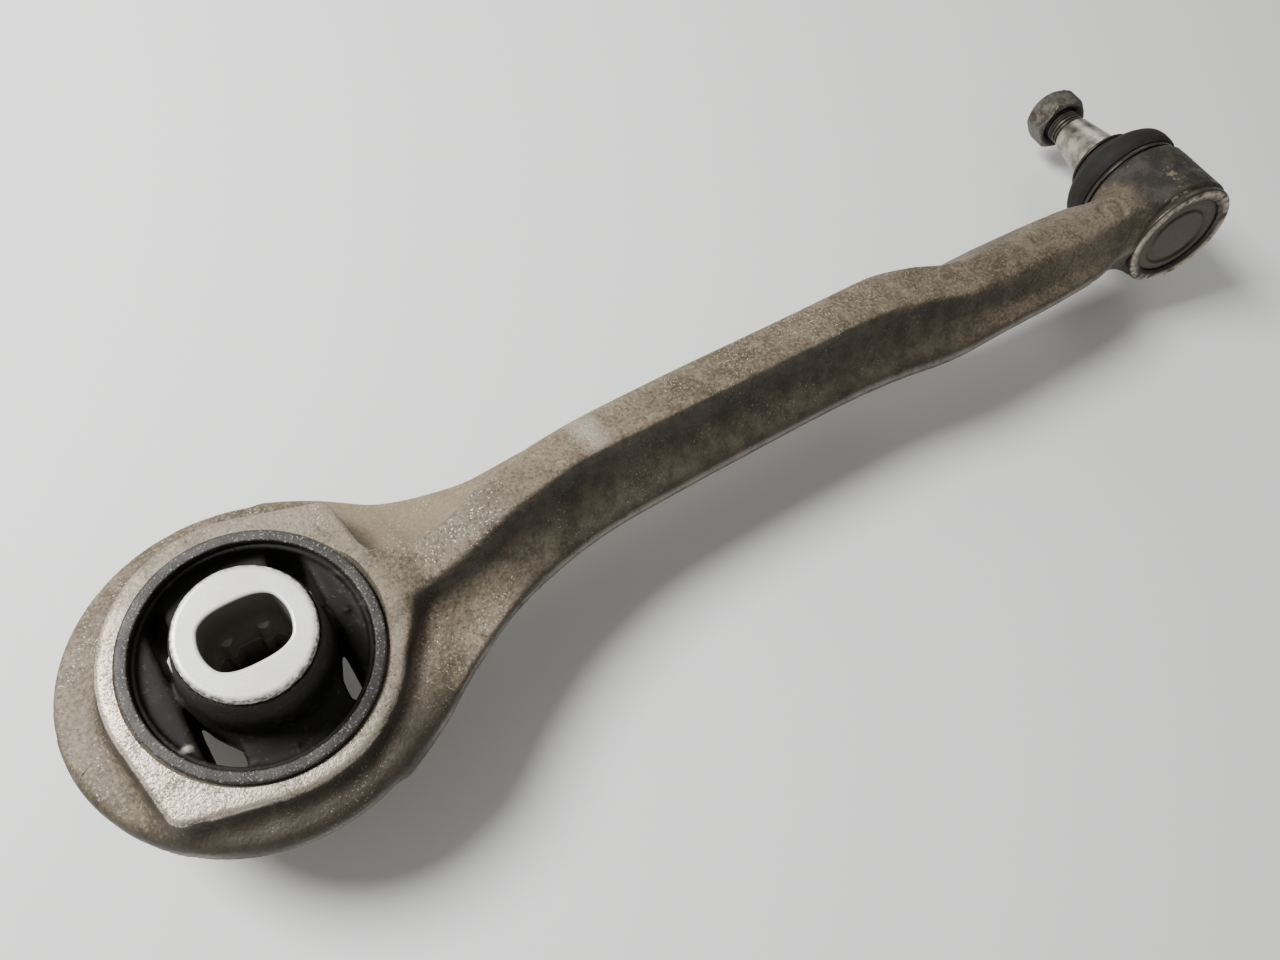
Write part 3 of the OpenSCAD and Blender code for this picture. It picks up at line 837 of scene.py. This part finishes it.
def grown(name, tree, ids, sizes, matrix):
    """Runs a Geometry Nodes tree on an empty mesh and returns the result as a plain mesh piece."""
    seed_mesh = bpy.data.meshes.new(name)
    piece = bpy.data.objects.new(name, seed_mesh)
    scene.collection.objects.link(piece)
    step = piece.modifiers.new("Grow", "NODES")
    step.node_group = tree
    for key, value in sizes.items():
        step[ids[key]] = value
    bpy.context.view_layer.update()
    mesh = bpy.data.meshes.new_from_object(piece.evaluated_get(bpy.context.evaluated_depsgraph_get()))
    piece.modifiers.remove(step)
    in_metres = matrix.copy()
    in_metres.translation = in_metres.translation * MM
    mesh.transform(in_metres)
    piece.data = mesh
    mesh.shade_smooth()
    mesh.set_sharp_from_angle(angle=math.radians(50))
    return piece


# The thread is one wire of rounded triangular section wound round the shank, joined to it all along.
thread_sizes = {
    "Radius": THREAD_R * MM,
    "Height": (THREAD_HIGH - THREAD_LOW) * MM,
    "Pitch": THREAD_PITCH * MM,
}
tree, ids, given, out = geometry_tree("thread_turns", thread_sizes)
spiral = tree.nodes.new("GeometryNodeCurveSpiral")
turns = tree.nodes.new("ShaderNodeMath")
turns.operation = "DIVIDE"
tree.links.new(given.outputs["Height"], turns.inputs[0])
tree.links.new(given.outputs["Pitch"], turns.inputs[1])
tree.links.new(turns.outputs[0], spiral.inputs["Rotations"])
spiral.inputs["Resolution"].default_value = 48
inner = tree.nodes.new("ShaderNodeMath")
inner.operation = "SUBTRACT"
inner.inputs[1].default_value = 0.42 * MM
tree.links.new(given.outputs["Radius"], inner.inputs[0])
tree.links.new(inner.outputs[0], spiral.inputs["Start Radius"])
tree.links.new(inner.outputs[0], spiral.inputs["End Radius"])
tree.links.new(given.outputs["Height"], spiral.inputs["Height"])
section = tree.nodes.new("GeometryNodeCurvePrimitiveCircle")
section.inputs["Resolution"].default_value = 6
section.inputs["Radius"].default_value = 0.62 * MM
sweep = tree.nodes.new("GeometryNodeCurveToMesh")
sweep.inputs["Fill Caps"].default_value = True
tree.links.new(spiral.outputs[0], sweep.inputs["Curve"])
tree.links.new(section.outputs[0], sweep.inputs["Profile Curve"])
realize = tree.nodes.new("GeometryNodeRealizeInstances")
coat = tree.nodes.new("GeometryNodeSetMaterial")
thread_steel, shader, t = tree_of("thread_steel")
t.link(t.blend(t.between(t.noise(500, 3), 0.35, 0.65), (0.036, 0.03, 0.023), (0.075, 0.064, 0.05)),
       shader.inputs["Base Color"])
t.link(t.between(t.noise(1600, 2), 0.3, 0.7, 0.36, 0.5), shader.inputs["Roughness"])
shader.inputs["Metallic"].default_value = 0.3
t.link(t.bump(t.noise(2400, 2), 0.00004, 0.3), shader.inputs["Normal"])
coat.inputs["Material"].default_value = thread_steel
tree.links.new(sweep.outputs[0], realize.inputs[0])
tree.links.new(realize.outputs[0], coat.inputs[0])
tree.links.new(coat.outputs[0], out.inputs[0])
thread = grown("stud_thread", tree, ids, thread_sizes,
               along_joint @ Matrix.Translation((0, 0, THREAD_LOW)))
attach(thread, "stud")

# ---------------------------------------------------------------- Dust boot
# A thin rubber bellows with one round bulge. Its foot sits in the groove behind the housing's shoulder and
# its neck grips the taper. It is cut at the bulge into two pieces, so that each can bend with one tilt.
boot_rubber, shader, t = tree_of("boot_rubber")
haze = t.noise(170, 3, 0.5)
skin = t.blend(t.between(haze, 0.4, 0.7), (0.0105, 0.0095, 0.008), (0.019, 0.017, 0.0145))
t.link(skin, shader.inputs["Base Color"])
t.link(t.between(haze, 0.3, 0.7, 0.68, 0.82), shader.inputs["Roughness"])
shader.inputs["Specular IOR Level"].default_value = 0.3
t.link(t.bump(t.noise(2600, 2), 0.00005, 0.3), shader.inputs["Normal"])
BOOT_CUT, BOOT_R, BOOT_INSIDE_R = 21.6, 23.25, 21.5
foot = rounded([
    (19.05, 14.1, 0.2), (20.8, 14.1, 0.3), (20.75, 16.35, 0.2), (22.2, 16.4, 0.9), (23.1, 18.6, 2.5),
    (BOOT_R, BOOT_CUT, 0), (BOOT_INSIDE_R, BOOT_CUT, 0), (21.4, 19.9, 2), (20.4, 18.6, 1),
    (19.05, 18.0, 0.3)], 6)
crown = rounded([
    (BOOT_R, BOOT_CUT, 0), (22.9, 24.2, 3.5), (20.4, 26.9, 4), (16.4, 28.9, 3), (14.5, 29.4, 0.8),
    (14.2, 31.9, 0.4), (12.5, 32.0, 0.4), (12.5, 34.6, 0.4), (12.0, 35.0, 0.3), (10.9, 35.0, 0.3),
    (10.9, 28.4, 0.4), (14, 27.5, 1.5), (17.4, 26.4, 3), (20.4, 24.2, 3), (BOOT_INSIDE_R, BOOT_CUT, 0)], 6)
boot_low = lathe("dust_boot_foot", foot, along_joint, boot_rubber, 144, 60)
boot_high = lathe("dust_boot_crown", crown, along_joint, boot_rubber, 144, 60)


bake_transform(boot_low)
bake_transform(boot_high)
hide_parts("dust_boot")

# ---------------------------------------------------------------- Rings that hold the boot
# A flat spring ring round the foot, tucked under the bulge, and a round wire ring at the neck.
wire_steel, shader, t = tree_of("spring_wire")
t.link(t.blend(t.between(t.noise(400, 3), 0.35, 0.65), (0.018, 0.016, 0.013), (0.036, 0.031, 0.025)),
       shader.inputs["Base Color"])
t.link(t.between(t.noise(1500, 2), 0.3, 0.7, 0.32, 0.45), shader.inputs["Roughness"])
shader.inputs["Metallic"].default_value = 0.3
t.link(t.bump(t.noise(2200, 2), 0.00004, 0.3), shader.inputs["Normal"])
clamp = lathe("boot_clamp_band", rounded([(20.85, 14.7, 0.15), (21.8, 14.7, 0.25), (21.8, 16.3, 0.25),
                                          (20.85, 16.3, 0.15)], 3), along_joint, wire_steel, 144)
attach(clamp, "arm")
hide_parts("boot_clamp_ring")
ring_sizes = {"Ring": 13.2 * MM, "Wire": 0.7 * MM}
tree, ids, given, out = geometry_tree("wire_ring", ring_sizes)
hoop = tree.nodes.new("GeometryNodeCurvePrimitiveCircle")
hoop.inputs["Resolution"].default_value = 144
section = tree.nodes.new("GeometryNodeCurvePrimitiveCircle")
section.inputs["Resolution"].default_value = 14
sweep = tree.nodes.new("GeometryNodeCurveToMesh")
realize = tree.nodes.new("GeometryNodeRealizeInstances")
coat = tree.nodes.new("GeometryNodeSetMaterial")
coat.inputs["Material"].default_value = wire_steel
tree.links.new(given.outputs["Ring"], hoop.inputs["Radius"])
tree.links.new(given.outputs["Wire"], section.inputs["Radius"])
tree.links.new(hoop.outputs[0], sweep.inputs["Curve"])
tree.links.new(section.outputs[0], sweep.inputs["Profile Curve"])
tree.links.new(sweep.outputs[0], realize.inputs[0])
tree.links.new(realize.outputs[0], coat.inputs[0])
tree.links.new(coat.outputs[0], out.inputs[0])
neck_ring = grown("boot_neck_wire", tree, ids, ring_sizes, along_joint @ Matrix.Translation((0, 0, 33.4)))
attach(neck_ring, "boot_ring")
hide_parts("boot_neck_ring")

# ---------------------------------------------------------------- Nut
# A cold-formed hexagon nut with soft rounded corners, a deep chamfer on its bearing face and a dull,
# faintly stained plating.
nut_steel, shader, t = tree_of("dull_nut")
stain = t.noise(260, 4, 0.6)
pits = t.noise(1500, 3, 0.6)
skin = t.blend(t.between(stain, 0.36, 0.64), (0.055, 0.046, 0.035), (0.14, 0.125, 0.102))
skin = t.blend(t.sums("MULTIPLY", t.between(pits, 0.58, 0.7), 0.5), skin, (0.27, 0.25, 0.22))
skin = t.blend(t.own("inner"), skin, (0.035, 0.031, 0.027))
t.link(skin, shader.inputs["Base Color"])
t.link(t.between(stain, 0.3, 0.7, 0.4, 0.58), shader.inputs["Roughness"])
shader.inputs["Metallic"].default_value = 0.6
t.link(t.bump(pits, 0.0002, 0.45), shader.inputs["Normal"])
NUT_LOW, NUT_HIGH, NUT_FLAT = 60.5, 72.0, 10.5
nut_angles = 2 * np.pi * np.arange(240) / 240


def hexagon(limit):
    """Reach of a rounded hexagon, no further than the limit."""
    corner = NUT_FLAT / np.cos((nut_angles % (math.pi / 3)) - math.pi / 6)
    lift = np.maximum(corner - 11.3, 0)
    return np.minimum(corner - 0.25 * lift, limit)


nut_levels = [polar_loop(nut_angles, reach, height) for reach, height in (
    (9.6, NUT_LOW + 0.02), (10.1, NUT_LOW), (hexagon(10.5), NUT_LOW + 0.25), (hexagon(11.2), NUT_LOW + 0.6),
    (hexagon(11.7), NUT_LOW + 1.0), (hexagon(13), NUT_LOW + 1.7), (hexagon(13), 66),
    (hexagon(13), NUT_HIGH - 3.4), (hexagon(11.8), NUT_HIGH - 2.4), (hexagon(11.0), NUT_HIGH - 1.6),
    (hexagon(10.2), NUT_HIGH - 1.1), (9.6, NUT_HIGH - 0.4), (9.1, NUT_HIGH), (8.2, NUT_HIGH),
    (7.8, NUT_HIGH - 0.4), (7.4, NUT_HIGH - 0.8), (7.4, NUT_LOW + 1.6), (9.2, NUT_LOW + 0.3))]
nut = stack("hexagon_nut", nut_levels, along_joint, nut_steel, True, 50)
local = points_in(along_joint, nut)
paint(nut, "inner", ramp(np.hypot(local[:, 0], local[:, 1]), 9.5, -0.5))
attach(nut, "stud")
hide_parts("stud_nut")
